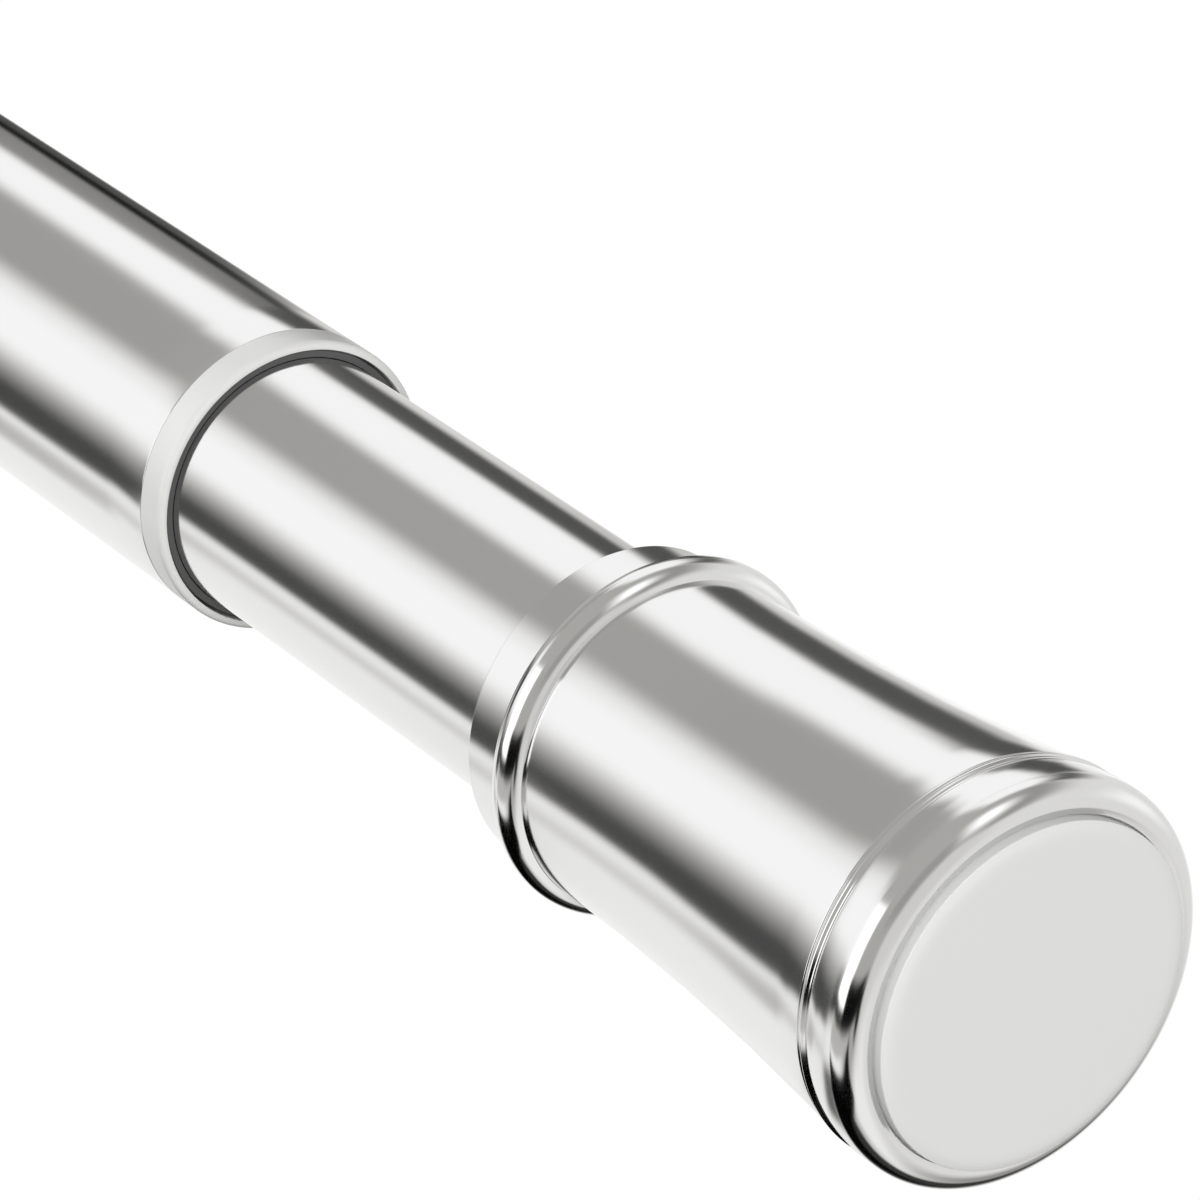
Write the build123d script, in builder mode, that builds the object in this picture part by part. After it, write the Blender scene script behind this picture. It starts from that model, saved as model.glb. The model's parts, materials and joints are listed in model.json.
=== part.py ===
"""Spring tension rod: two telescoping steel tubes between flared, rubber-faced end caps.

The rod lies along X. The wall face of the outer tube's cap is at X = 0 and the inner tube
runs out towards +X. Lengths are in millimetres. The rest pose is the rod as pictured:
unlocked, with its spring at its free stop and a short stretch of the inner tube showing.
"""

from build123d import *
from math import radians, sqrt, tan
import os

# Tubes
outer_tube_radius = 12.5
tube_wall = 0.6
tube_gap = 0.9                 # radial room between the tubes, filled by the bush and rings

# Rod lengths
outer_reach = 400.0            # wall face of the outer cap to the collar's front face
shown_tube = 44.3              # bright inner tube between the collar and the inner cap
extension_travel = 205.5       # how far the inner tube can still be drawn out from rest
spring_stroke = 20.0

# Clearances
slide_clearance = 0.05         # running fit between the tubes, on the radius
turning_clearance = 0.08       # round the spindle, on the radius
fixed_clearance = 0.05         # between pieces that are assembled once, on the radius
free_gap = 0.3                 # between pieces that pass without touching
seat_gap = 0.15                # axial play beside a bearing face
stack_gap = 0.05               # axial gap between pieces that press on each other
stroke_reserve = 1.0           # left between guide bush and wedge with the spring fully pressed

# Cap shell, a rolled sheet; stations are distances from the wall face
cap_length = 50.2
shell_wall = 0.6
rim_radius = 15.92
nose_round = 1.87
pad_proud = 0.93               # how far the pad stands out of the shell's end face
lip_width = 0.5                # flat land of the shell's end face
lip_gap = 0.12                 # thin shadow line between the lip and the pad
rim_land = 1.4
rim_step = 0.22                # from the rim's land down to the start of the flare
ridge_station = 6.15           # fine raised line behind the rim
ridge_width = 0.86
ridge_height = 0.16
neck_step = 0.13               # how much wider the neck is than the band behind the bead
bead_setback = 5.5             # bead's middle to the shell's open end
bead_round = 1.57
bead_sink = 0.33               # how far the bead's centre lies below the neck
band_edge_round = 0.35

# Pad
pad_edge_round = 0.83
pad_thickness = 3.4
pad_stud_radius = 3.2
pad_stud_length = 0.8

# Cap core
core_boss_radius = 8.0
core_boss_length = 3.0
core_sleeve_recess = 0.7       # end of the sleeve round the thin tube to the shell's open end
core_ring_length = 10.0        # short socket round the thick tube
core_ring_gap = 0.45           # between that socket's end and the shell
core_ribs = 8
core_rib_thickness = 1.4
core_rib_setback = 20.2        # end of the long ribs to the shell's open end

# Tube plug and its screw
plug_length = 18.0
plug_rib_height = 1.1          # above the plug's core, in the thin tube
plug_ribs = 6
plug_rib_thickness = 1.6
plug_chamfer = 0.8
plug_lead = 2.4                # length of the taper that leads the ribs into the tube
screw_radius = 2.0
screw_length = 18.0
screw_head_radius = 3.8
screw_head_height = 2.4
screw_head_round = 1.0
screw_slot_width = 0.9
screw_slot_depth = 1.2
screw_slot_length = 4.4

# Collar and glide bush in the mouth of the outer tube
collar_length = 2.9
collar_opening = 0.62          # radial room between the inner tube and the collar
collar_edge_round = 0.55
bush_recess = 0.4              # how far the dark bush lies behind the collar's face
bush_length = 22.0
bush_slots = 3
bush_slot_width = 2.0
bush_slot_length = 12.0

# Spindle, from its bare end towards the inner tube
journal_radius = 3.0
clip_groove_depth = 0.45
spindle_tail = 1.2
clip_thickness = 0.8
clip_radius = 4.9
clip_mouth = 3.6
washer_thickness = 1.0
washer_radius = 5.6
thread_radius = 4.0
hex_flats = 8.0
thread_pitch = 2.0
locking_turns = 1.5

# Lock collet
hub_length = 9.0
hub_gap = 0.5                  # between the hub and the outer tube
finger_length = 22.0
finger_gap = 0.35              # between the relaxed fingers and the outer tube
finger_step = 1.0              # length of the slope from the hub up to the fingers
finger_mouth_wall = 1.75
cone_angle = 9.0
cone_root_flat = 1.8           # straight bore between the hub and the taper
collet_slots = 6
collet_slot_width = 1.8
collet_slot_root = 2.5
grip_grooves = 4
grip_pitch = 3.0
grip_width = 1.0
grip_depth = 0.35
drag_ring_section = 2.2        # square section of the ring
drag_ring_edge = 0.4
drag_ring_play = 0.1           # on each side of the ring in its groove
drag_groove_gap = 0.25         # under the ring

# Wedge cone
wedge_length = 15.0
wedge_overlap = 12.0           # length of the cone that stands inside the fingers at rest
wedge_play = 0.64              # axial distance left between the cones when locked
wedge_keys = 3
wedge_key_foot = 5.0           # radius, inside the cone, from which the keys rise
wedge_key_gap = 0.55           # how far the keys stay below the outside of the fingers
wedge_key_length = 9.0

# Guide bush, glide ring and plunger
guide_flange = 2.5
guide_flange_gap = 0.2         # between the flange and the outer tube
guide_length = 14.0
glide_ring_length = 8.0
glide_ring_split = 2.0
plunger_thickness = 6.0
boss_gap = 0.5                 # between the bosses and the inside of the coil
boss_length = 4.0
boss_chamfer = 1.0
plunger_screw_head_radius = 3.5
plunger_screw_head_height = 2.2
plunger_screw_chamfer = 0.6
plunger_screw_radius = 1.5
plunger_screw_length = 10.0

# Spring and its seat
wire_radius = 0.9
wire_sides = 8                 # the round wire is drawn with this many flats
coil_room = 1.9                # between the coil and the inner tube
coil_turns = 9.0
spring_length = 70.0
seat_length = 8.0
crimp_width = 1.6
crimp_depth = 0.4

# Radii that follow from the sizes above
outer_bore = outer_tube_radius - tube_wall
inner_tube_radius = outer_bore - tube_gap
inner_bore = inner_tube_radius - tube_wall
band_radius = outer_tube_radius + fixed_clearance + shell_wall
shell_bore = band_radius - shell_wall
neck_radius = band_radius + neck_step
flare_radius = rim_radius - rim_step
nose_centre_radius = rim_radius - nose_round
lip_radius = nose_centre_radius - lip_width
pad_radius = lip_radius - lip_gap
pad_flange_radius = nose_centre_radius - fixed_clearance
bead_centre = neck_radius - bead_sink
bead_hollow = bead_round - shell_wall
rib_inset = shell_wall + 2 * fixed_clearance
core_radius = flare_radius - rib_inset
core_sleeve_radius = shell_bore - 2 * fixed_clearance
plug_core_radius = inner_bore - plug_rib_height
screw_hole = screw_radius + fixed_clearance
collar_bore = inner_tube_radius + collar_opening
bush_bore = inner_tube_radius + slide_clearance
cone_slope = tan(radians(cone_angle))
hub_radius = outer_bore - hub_gap
finger_radius = outer_bore - finger_gap
cone_mouth_radius = finger_radius - finger_mouth_wall
finger_root_bore = cone_mouth_radius - (finger_length - cone_root_flat) * cone_slope
journal_bore = journal_radius + turning_clearance
drag_groove_width = drag_ring_section + 2 * drag_ring_play
drag_groove_floor = outer_bore - slide_clearance - drag_ring_section - drag_groove_gap
wedge_bore = thread_radius + turning_clearance
wedge_key_radius = finger_radius - wedge_key_gap
guide_flange_radius = outer_bore - guide_flange_gap
coil_radius = inner_bore - coil_room - wire_radius
boss_radius = coil_radius - wire_radius - boss_gap

# Positions along the rod
inner_wall_x = outer_reach + shown_tube + cap_length
nose_station = pad_proud + nose_round
ridge_start = ridge_station - ridge_width / 2
ridge_end = ridge_station + ridge_width / 2
bead_station = cap_length - bead_setback
disc_back = ridge_end
boss_back = disc_back + core_boss_length
core_ring_end = disc_back + core_ring_length
bush_back_x = outer_reach - bush_length
glide_ring_end_x = bush_back_x - free_gap - extension_travel
inner_end_x = glide_ring_end_x - glide_ring_length
guide_face_x = inner_end_x - guide_flange
wedge_back_x = guide_face_x - spring_stroke - stroke_reserve
wedge_travel = thread_pitch * locking_turns
wedge_front_x = wedge_back_x - wedge_length
wedge_rest_gap = wedge_travel + wedge_play
collet_mouth_x = wedge_front_x + wedge_overlap
hub_back_x = collet_mouth_x - finger_length
hub_front_x = hub_back_x - hub_length
shoulder_x = hub_back_x + seat_gap
washer_x = hub_front_x - seat_gap - washer_thickness
clip_x = washer_x - clip_thickness - stack_gap
spindle_end_x = clip_x - spindle_tail
plunger_x = inner_end_x + guide_length + seat_gap
spring_x = plunger_x + plunger_thickness
spindle_tip_x = spring_x + boss_length - seat_gap
seat_x = spring_x + spring_length

# Each end of the rod is drawn in its own plane: local x is the distance from the wall
# face and local y the radius. The caps of both ends are alike apart from their sockets.
end_planes = {
    "outer": Plane(origin=(0, 0, 0), x_dir=(1, 0, 0), z_dir=(0, -1, 0)),
    "inner": Plane(origin=(inner_wall_x, 0, 0), x_dir=(-1, 0, 0), z_dir=(0, 1, 0)),
}
tube_bores = {"outer": outer_bore, "inner": inner_bore}
tube_radii = {"outer": outer_tube_radius, "inner": inner_tube_radius}
side = Plane.XZ


def save(piece, name):
    """Label a finished piece and write it as its own file."""
    piece.label = name
    export_step(piece, f"parts/{name}.step")


def arc_reach(radius, height):
    """Half the chord of a circle of this radius at this height above its centre."""
    return sqrt(radius ** 2 - height ** 2)


def around_x(plane, count, offset=0.0):
    """Copies of a drawing plane, turned round the rod's axis in equal steps."""
    return [plane.rotated((offset + 360 * k / count, 0, 0)) for k in range(count)]


def flare_arc(inset, start_radius, start_station, end_station):
    """The trumpet curve from the neck out to the rim, drawn parallel to itself by inset."""
    return TangentArc(
        (start_station, start_radius - inset),
        (end_station, flare_radius - inset),
        tangent=(-1, 0),
    )


def flare_at(station):
    """Outside radius of the shell's flare at this distance from the wall face."""
    drop = flare_radius - neck_radius
    run = bead_front - ridge_end
    bend = (run ** 2 + drop ** 2) / (2 * drop)
    return neck_radius + bend - arc_reach(bend, bead_front - station)


os.makedirs("parts", exist_ok=True)

# Where the bead meets the neck and the band, and the socket that fits in the flare
bead_front = bead_station - arc_reach(bead_round, bead_sink)
bead_back = bead_station + arc_reach(bead_round, band_radius - bead_centre)
core_ring_radius = flare_at(core_ring_end) - shell_wall - core_ring_gap

for end, plane in end_planes.items():
    thick_end = end == "outer"

    # Shell: one rolled sheet, from the lip round the nose, along the flare and neck, over
    # the bead to the flat band at its open end.
    with BuildPart() as cap_shell:
        with BuildSketch(plane):
            with BuildLine():
                Line((pad_proud, lip_radius), (pad_proud, nose_centre_radius))
                CenterArc((nose_station, nose_centre_radius), nose_round, 180, -90)
                Polyline(
                    (nose_station, rim_radius),
                    (nose_station + rim_land, rim_radius),
                    (ridge_start, flare_radius),
                )
                ThreePointArc(
                    (ridge_start, flare_radius),
                    (ridge_station, flare_radius + ridge_height),
                    (ridge_end, flare_radius),
                )
                flare_arc(0, neck_radius, bead_front, ridge_end)
                ThreePointArc(
                    (bead_front, neck_radius),
                    (bead_station, bead_centre + bead_round),
                    (bead_back, band_radius),
                )
                Line((bead_back, band_radius), (cap_length - band_edge_round, band_radius))
                CenterArc(
                    (cap_length - band_edge_round, band_radius - band_edge_round),
                    band_edge_round, 90, -90,
                )
                Polyline(
                    (cap_length, band_radius - band_edge_round),
                    (cap_length, shell_bore),
                    (bead_station + bead_hollow, shell_bore),
                    (bead_station + bead_hollow / 2, bead_centre + bead_hollow),
                    (bead_station - bead_hollow / 2, bead_centre + bead_hollow),
                    (bead_station - bead_hollow, neck_radius - shell_wall),
                )
                flare_arc(shell_wall, neck_radius, bead_station - bead_hollow, ridge_end)
                Polyline(
                    (ridge_end, flare_radius - shell_wall),
                    (ridge_start, flare_radius - shell_wall),
                    (nose_station + rim_land, rim_radius - shell_wall),
                    (nose_station, rim_radius - shell_wall),
                    (pad_proud + shell_wall, nose_centre_radius),
                    (pad_proud + shell_wall, lip_radius),
                    (pad_proud, lip_radius),
                )
            make_face()
        revolve(axis=Axis.X)
    save(cap_shell.part, f"{end}_cap_shell")

    # Pad: the visible rubber face with its rounded edge, and the flange behind the lip.
    with BuildPart() as pad:
        with BuildSketch(plane):
            with BuildLine():
                Line((0, 0), (0, pad_radius - pad_edge_round))
                CenterArc(
                    (pad_edge_round, pad_radius - pad_edge_round), pad_edge_round, 180, -90
                )
                Polyline(
                    (pad_edge_round, pad_radius),
                    (pad_proud + shell_wall + fixed_clearance, pad_radius),
                    (pad_proud + shell_wall + fixed_clearance, pad_flange_radius),
                    (pad_thickness, pad_flange_radius),
                    (pad_thickness, pad_stud_radius),
                    (pad_thickness + pad_stud_length, pad_stud_radius),
                    (pad_thickness + pad_stud_length, 0),
                    (0, 0),
                )
            make_face()
        revolve(axis=Axis.X)
    save(pad.part, f"{end}_pad")

    # Core: the disc behind the pad, the screw boss, the socket for the tube and the ribs
    # that hold the shell round.
    socket_bore = tube_radii[end] + fixed_clearance
    socket_radius = core_ring_radius if thick_end else core_sleeve_radius
    socket_end = core_ring_end if thick_end else cap_length - core_sleeve_recess
    rib_end = core_ring_end if thick_end else cap_length - core_rib_setback
    rib_middle = (disc_back + rib_end) / 2
    rib_foot = (socket_bore + socket_radius) / 2
    head_seat = pad_thickness + pad_stud_length + screw_head_height + seat_gap
    with BuildPart() as cap_core:
        with BuildSketch(plane):
            with BuildLine():
                Polyline(
                    (pad_thickness, screw_head_radius + free_gap),
                    (pad_thickness, core_radius),
                    (disc_back, core_radius),
                    (disc_back, socket_radius),
                    (socket_end, socket_radius),
                    (socket_end, socket_bore),
                    (disc_back, socket_bore),
                    (disc_back, core_boss_radius),
                    (boss_back, core_boss_radius),
                    (boss_back, screw_hole + fixed_clearance),
                    (head_seat, screw_hole + fixed_clearance),
                    (head_seat, screw_head_radius + free_gap),
                    close=True,
                )
            make_face()
        revolve(axis=Axis.X)
        for rib_plane in around_x(plane, core_ribs):
            with BuildSketch(rib_plane):
                with BuildLine():
                    ThreePointArc(
                        (disc_back, core_radius),
                        (rib_middle, flare_at(rib_middle) - rib_inset),
                        (rib_end, flare_at(rib_end) - rib_inset),
                    )
                    Polyline(
                        (rib_end, flare_at(rib_end) - rib_inset),
                        (rib_end, rib_foot),
                        (disc_back, rib_foot),
                        (disc_back, core_radius),
                    )
                make_face()
            extrude(amount=core_rib_thickness / 2, both=True)
    save(cap_core.part, f"{end}_cap_core")

    # Tube plug: a ribbed cylinder pressed in the tube, drilled for the screw.
    with BuildPart() as tube_plug:
        with BuildSketch(plane):
            with BuildLine():
                Polyline(
                    (boss_back, screw_hole),
                    (boss_back, plug_core_radius),
                    (boss_back + plug_length - plug_chamfer, plug_core_radius),
                    (boss_back + plug_length, plug_core_radius - plug_chamfer),
                    (boss_back + plug_length, screw_hole),
                    close=True,
                )
            make_face()
        revolve(axis=Axis.X)
        rib_top = tube_bores[end] - fixed_clearance
        plug_rib_foot = plug_core_radius - plug_chamfer
        for rib_plane in around_x(plane, plug_ribs):
            with BuildSketch(rib_plane):
                with BuildLine():
                    Polyline(
                        (boss_back, plug_rib_foot),
                        (boss_back, rib_top),
                        (boss_back + plug_length - plug_lead, rib_top),
                        (boss_back + plug_length - plug_chamfer, plug_rib_foot),
                        close=True,
                    )
                make_face()
            extrude(amount=plug_rib_thickness / 2, both=True)
    save(tube_plug.part, f"{end}_tube_plug")

    # Screw: a domed head with a cross recess, seated in the core under the pad.
    head_start = head_seat - screw_head_height
    with BuildPart() as cap_screw:
        with BuildSketch(plane):
            with BuildLine():
                Polyline(
                    (head_start, screw_head_radius - screw_head_round),
                    (head_start, 0),
                    (head_seat + screw_length, 0),
                    (head_seat + screw_length - screw_radius, screw_radius),
                    (head_seat, screw_radius),
                    (head_seat, screw_head_radius),
                    (head_start + screw_head_round, screw_head_radius),
                )
                CenterArc(
                    (head_start + screw_head_round, screw_head_radius - screw_head_round),
                    screw_head_round, 90, 90,
                )
            make_face()
        revolve(axis=Axis.X)
        for slot_plane in around_x(plane, 4):
            with BuildSketch(slot_plane):
                with BuildLine():
                    Polyline(
                        (head_start, 0),
                        (head_start, screw_slot_length / 2),
                        (head_start + screw_slot_depth, screw_slot_width / 2),
                        (head_start + screw_slot_depth, 0),
                        close=True,
                    )
                make_face()
            extrude(amount=screw_slot_width / 2, both=True, mode=Mode.SUBTRACT)
    save(cap_screw.part, f"{end}_cap_screw")

# Outer tube: from the disc of its cap to the back of the collar's flange.
with BuildPart() as outer_tube:
    with BuildSketch(side):
        with Locations((disc_back, outer_bore)):
            Rectangle(
                outer_reach - collar_length - disc_back, tube_wall, align=(Align.MIN, Align.MIN)
            )
    revolve(axis=Axis.X)
save(outer_tube.part, "outer_tube")

# Inner tube: its inner end holds the guide bush and a rolled crimp holds the spring seat.
crimp_x = seat_x + seat_length / 2
with BuildPart() as inner_tube:
    with BuildSketch(side):
        with BuildLine():
            Line((inner_end_x, inner_bore), (inner_end_x, inner_tube_radius))
            Line((inner_end_x, inner_tube_radius), (crimp_x - crimp_width / 2, inner_tube_radius))
            ThreePointArc(
                (crimp_x - crimp_width / 2, inner_tube_radius),
                (crimp_x, inner_tube_radius - crimp_depth),
                (crimp_x + crimp_width / 2, inner_tube_radius),
            )
            Polyline(
                (crimp_x + crimp_width / 2, inner_tube_radius),
                (inner_wall_x - disc_back, inner_tube_radius),
                (inner_wall_x - disc_back, inner_bore),
                (crimp_x + crimp_width / 2, inner_bore),
            )
            ThreePointArc(
                (crimp_x + crimp_width / 2, inner_bore),
                (crimp_x, inner_bore - crimp_depth),
                (crimp_x - crimp_width / 2, inner_bore),
            )
            Line((crimp_x - crimp_width / 2, inner_bore), (inner_end_x, inner_bore))
        make_face()
    revolve(axis=Axis.X)
save(inner_tube.part, "inner_tube")

# Collar: a thin ring, flush with the outer tube, that closes the tube's cut end.
with BuildPart() as collar:
    with BuildSketch(side):
        with BuildLine():
            Line((outer_reach - collar_length, collar_bore), (outer_reach, collar_bore))
            Line((outer_reach, collar_bore), (outer_reach, outer_tube_radius - collar_edge_round))
            CenterArc(
                (outer_reach - collar_edge_round, outer_tube_radius - collar_edge_round),
                collar_edge_round, 0, 90,
            )
            Polyline(
                (outer_reach - collar_edge_round, outer_tube_radius),
                (outer_reach - collar_length, outer_tube_radius),
                (outer_reach - collar_length, collar_bore),
            )
        make_face()
    revolve(axis=Axis.X)
save(collar.part, "collar")

# Glide bush: a split-fingered sleeve between the tubes, stepped down inside the collar.
with BuildPart() as glide_bush:
    with BuildSketch(side):
        with BuildLine():
            Polyline(
                (bush_back_x, bush_bore),
                (bush_back_x, outer_bore - fixed_clearance),
                (outer_reach - collar_length, outer_bore - fixed_clearance),
                (outer_reach - collar_length, collar_bore - fixed_clearance),
                (outer_reach - bush_recess, collar_bore - fixed_clearance),
                (outer_reach - bush_recess, bush_bore),
                close=True,
            )
        make_face()
    revolve(axis=Axis.X)
    for slot_plane in around_x(side, bush_slots, 30):
        with BuildSketch(slot_plane):
            with Locations((bush_back_x, 0)):
                Rectangle(
                    bush_slot_length, outer_tube_radius, align=(Align.MIN, Align.MIN)
                )
        extrude(amount=bush_slot_width / 2, both=True, mode=Mode.SUBTRACT)
save(glide_bush.part, "glide_bush")

# Lock collet: a hub that turns on the spindle's journal, six springy fingers with a
# tapered bore, grip grooves outside and a groove for the drag ring.
drag_x = (hub_front_x + hub_back_x) / 2
with BuildPart() as lock_collet:
    with BuildSketch(side):
        with BuildLine():
            Polyline(
                (hub_front_x, journal_bore),
                (hub_front_x, hub_radius),
                (drag_x - drag_groove_width / 2, hub_radius),
                (drag_x - drag_groove_width / 2, drag_groove_floor),
                (drag_x + drag_groove_width / 2, drag_groove_floor),
                (drag_x + drag_groove_width / 2, hub_radius),
                (hub_back_x, hub_radius),
                (hub_back_x + finger_step, finger_radius),
                (collet_mouth_x, finger_radius),
                (collet_mouth_x, cone_mouth_radius),
                (hub_back_x + cone_root_flat, finger_root_bore),
                (hub_back_x, finger_root_bore),
                (hub_back_x, journal_bore),
                close=True,
            )
        make_face()
        for groove in range(grip_grooves):
            with Locations((collet_mouth_x - grip_pitch * (groove + 1), finger_radius)):
                Rectangle(grip_width, 2 * grip_depth, mode=Mode.SUBTRACT)
    revolve(axis=Axis.X)
    for slot_plane in around_x(side, collet_slots):
        with BuildSketch(slot_plane):
            with Locations((hub_back_x + collet_slot_root, 0)):
                Rectangle(finger_length, 2 * finger_radius, align=(Align.MIN, Align.MIN))
        extrude(amount=collet_slot_width / 2, both=True, mode=Mode.SUBTRACT)
save(lock_collet.part, "lock_collet")

# Drag ring: a soft ring that rubs in the outer tube so that the collet doesn't spin.
with BuildPart() as drag_ring:
    with BuildSketch(side) as drag_sketch:
        with Locations((drag_x, outer_bore - slide_clearance - drag_ring_section / 2)):
            Rectangle(drag_ring_section, drag_ring_section)
        chamfer(drag_sketch.vertices().group_by(Axis.Y)[-1], drag_ring_edge)
    revolve(axis=Axis.X)
save(drag_ring.part, "drag_ring")

# Wedge cone: threaded on the spindle, with keys that run in the collet's slots.
wedge_mouth_radius = cone_mouth_radius - wedge_rest_gap * cone_slope
wedge_small_radius = wedge_mouth_radius - wedge_overlap * cone_slope
wedge_large_radius = wedge_mouth_radius + (wedge_length - wedge_overlap) * cone_slope
with BuildPart() as wedge_cone:
    with BuildSketch(side):
        with BuildLine():
            Polyline(
                (wedge_front_x, wedge_bore),
                (wedge_front_x, wedge_small_radius),
                (wedge_back_x, wedge_large_radius),
                (wedge_back_x, wedge_bore),
                close=True,
            )
        make_face()
    revolve(axis=Axis.X)
    for key_plane in around_x(side, wedge_keys):
        with BuildSketch(key_plane):
            with Locations((wedge_back_x, wedge_key_foot)):
                Rectangle(
                    wedge_key_length,
                    wedge_key_radius - wedge_key_foot,
                    align=(Align.MAX, Align.MIN),
                )
        extrude(amount=collet_slot_width / 2 - free_gap, both=True)
save(wedge_cone.part, "wedge_cone")

# Spindle: grooved journal, threaded length, hexagon, and the spigot that carries the plunger.
hex_start_x = wedge_back_x + free_gap
hex_plane = Plane.YZ.offset(hex_start_x)
clip_groove_x = clip_x - stack_gap
with BuildPart() as spindle:
    with BuildSketch(side):
        with BuildLine():
            Polyline(
                (spindle_end_x, 0),
                (spindle_end_x, journal_radius - clip_groove_depth),
                (spindle_end_x + clip_groove_depth, journal_radius),
                (clip_groove_x, journal_radius),
                (clip_groove_x, journal_radius - clip_groove_depth),
                (washer_x - stack_gap / 2, journal_radius - clip_groove_depth),
                (washer_x - stack_gap / 2, journal_radius),
                (shoulder_x, journal_radius),
                (shoulder_x, thread_radius),
                (hex_start_x, thread_radius),
                (hex_start_x, 0),
                close=True,
            )
        make_face()
    revolve(axis=Axis.X)
    with BuildSketch(hex_plane):
        RegularPolygon(hex_flats / 2, 6, major_radius=False)
    extrude(amount=plunger_x - hex_start_x)
    with BuildSketch(Plane.YZ.offset(plunger_x)):
        Circle(journal_radius)
    extrude(amount=spindle_tip_x - plunger_x)
    with BuildSketch(Plane.YZ.offset(spindle_tip_x)):
        Circle(plunger_screw_radius + fixed_clearance)
    extrude(amount=-plunger_screw_length - seat_gap, mode=Mode.SUBTRACT)
save(spindle.part, "spindle")

# Thrust washer and retaining clip, which hold the collet's hub on the journal.
with BuildPart() as thrust_washer:
    with BuildSketch(Plane.YZ.offset(washer_x)):
        Circle(washer_radius)
        Circle(journal_radius + fixed_clearance, mode=Mode.SUBTRACT)
    extrude(amount=washer_thickness)
save(thrust_washer.part, "thrust_washer")

with BuildPart() as retaining_clip:
    with BuildSketch(Plane.YZ.offset(clip_x)):
        Circle(clip_radius)
        Circle(journal_radius - clip_groove_depth + fixed_clearance, mode=Mode.SUBTRACT)
        with Locations((0, -clip_radius)):
            Rectangle(clip_mouth, 2 * clip_radius, mode=Mode.SUBTRACT)
    extrude(amount=clip_thickness)
save(retaining_clip.part, "retaining_clip")

# Guide bush: flanged plug in the inner tube's end, with a hexagonal bore that turns the
# spindle and lets it slide.
with BuildPart() as guide_bush:
    with BuildSketch(side):
        with BuildLine():
            Polyline(
                (guide_face_x, 0),
                (guide_face_x, guide_flange_radius),
                (inner_end_x, guide_flange_radius),
                (inner_end_x, inner_bore - fixed_clearance),
                (inner_end_x + guide_length - plug_chamfer, inner_bore - fixed_clearance),
                (inner_end_x + guide_length, inner_bore - fixed_clearance - plug_chamfer),
                (inner_end_x + guide_length, 0),
                close=True,
            )
        make_face()
    revolve(axis=Axis.X)
    with BuildSketch(Plane.YZ.offset(guide_face_x)):
        RegularPolygon(hex_flats / 2 + turning_clearance, 6, major_radius=False)
    extrude(amount=guide_flange + guide_length, mode=Mode.SUBTRACT)
save(guide_bush.part, "guide_bush")

# Glide ring: a split ring round the inner tube's end, running in the outer tube.
with BuildPart() as glide_ring:
    with BuildSketch(side):
        with Locations((inner_end_x, inner_tube_radius + fixed_clearance)):
            Rectangle(
                glide_ring_length,
                outer_bore - slide_clearance - inner_tube_radius - fixed_clearance,
                align=(Align.MIN, Align.MIN),
            )
    revolve(axis=Axis.X)
    with BuildSketch(side):
        with Locations((inner_end_x, 0)):
            Rectangle(glide_ring_length, outer_bore, align=(Align.MIN, Align.MIN))
    extrude(amount=glide_ring_split / 2, both=True, mode=Mode.SUBTRACT)
save(glide_ring.part, "glide_ring")

# Plunger: the disc on the spindle's tip that presses on the spring, and its screw.
with BuildPart() as plunger:
    with BuildSketch(side):
        with BuildLine():
            Polyline(
                (plunger_x, journal_radius + fixed_clearance),
                (plunger_x, inner_bore - free_gap),
                (spring_x, inner_bore - free_gap),
                (spring_x, boss_radius),
                (spring_x + boss_length - boss_chamfer, boss_radius),
                (spring_x + boss_length, boss_radius - boss_chamfer),
                (spring_x + boss_length, journal_radius + fixed_clearance),
                close=True,
            )
        make_face()
    revolve(axis=Axis.X)
save(plunger.part, "plunger")

plunger_head_x = spring_x + boss_length
plunger_top_x = plunger_head_x + plunger_screw_head_height
with BuildPart() as plunger_screw:
    with BuildSketch(side):
        with BuildLine():
            Polyline(
                (plunger_head_x - plunger_screw_length, 0),
                (plunger_head_x - plunger_screw_length, plunger_screw_radius),
                (plunger_head_x, plunger_screw_radius),
                (plunger_head_x, plunger_screw_head_radius),
                (plunger_top_x - plunger_screw_chamfer, plunger_screw_head_radius),
                (plunger_top_x, plunger_screw_head_radius - plunger_screw_chamfer),
                (plunger_top_x, 0),
                close=True,
            )
        make_face()
    revolve(axis=Axis.X)
    with BuildSketch(Plane.YZ.offset(plunger_top_x)):
        Rectangle(screw_slot_width, 2 * plunger_screw_head_radius)
    extrude(amount=-screw_slot_depth, mode=Mode.SUBTRACT)
save(plunger_screw.part, "plunger_screw")

# Spring: one wire, coiled round the rod's axis between the plunger and the seat.
spring_start_x = spring_x + wire_radius + stack_gap
spring_rise = spring_length - 2 * (wire_radius + stack_gap)
with BuildPart() as spring:
    with BuildLine() as coil:
        Helix(
            pitch=spring_rise / coil_turns,
            height=spring_rise,
            radius=coil_radius,
            center=(spring_start_x, 0, 0),
            direction=(1, 0, 0),
        )
    with BuildSketch(Plane(origin=coil.line @ 0, z_dir=coil.line % 0)):
        RegularPolygon(wire_radius, wire_sides)
    sweep(path=coil.line, is_frenet=True)
save(spring.part, "spring")

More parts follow.
